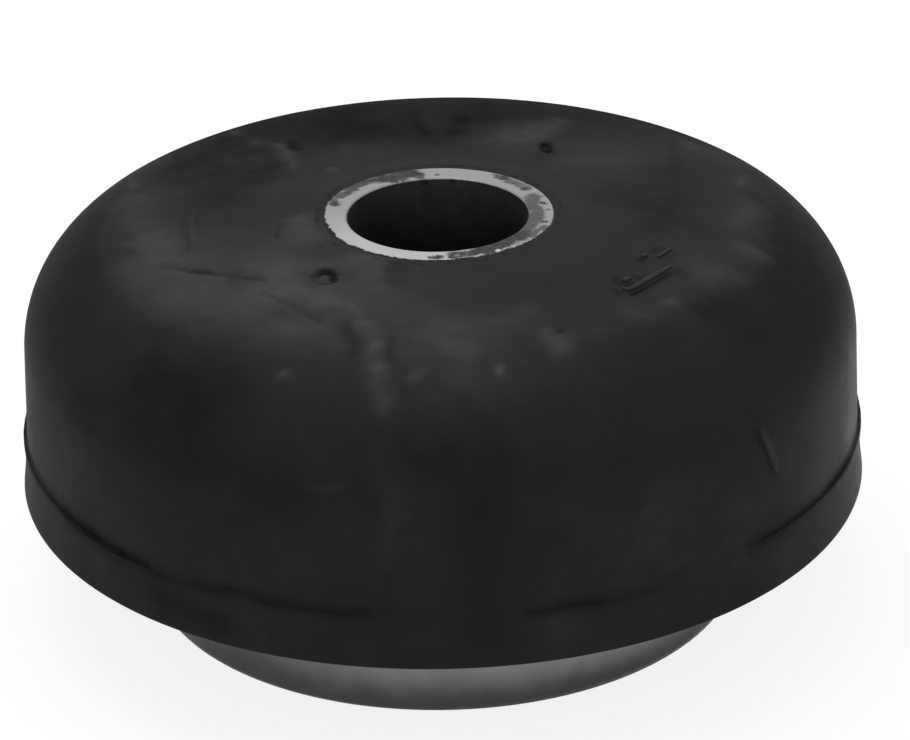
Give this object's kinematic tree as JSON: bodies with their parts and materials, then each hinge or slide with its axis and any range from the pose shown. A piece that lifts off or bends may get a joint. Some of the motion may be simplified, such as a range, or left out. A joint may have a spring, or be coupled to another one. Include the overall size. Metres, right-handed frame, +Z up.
{
  "type": "engine mount",
  "caption": "Bonded rubber engine mount: thick rounded rubber body with a flat seat, flush steel centre sleeve for a bolt and a plain steel spigot ring below the seat.",
  "frame": {"origin": "centre of the spigot ring's lower face, on the bolt axis", "axes": "+Z up along the bolt axis, from the bracket towards the crown"},
  "size_m": [0.1086, 0.1084, 0.0503],
  "materials": {
    "rubber": "moulded black rubber, dull, with dusty flow marks",
    "sleeve_steel": "cut and faced tube end, grey, stained at the back",
    "ring_steel": "turned steel, satin grey"
  },
  "bodies": {
    "root": {"rubber_body": "rubber", "centre_sleeve": "sleeve_steel", "spigot_ring": "ring_steel"}
  },
  "joints": []
}
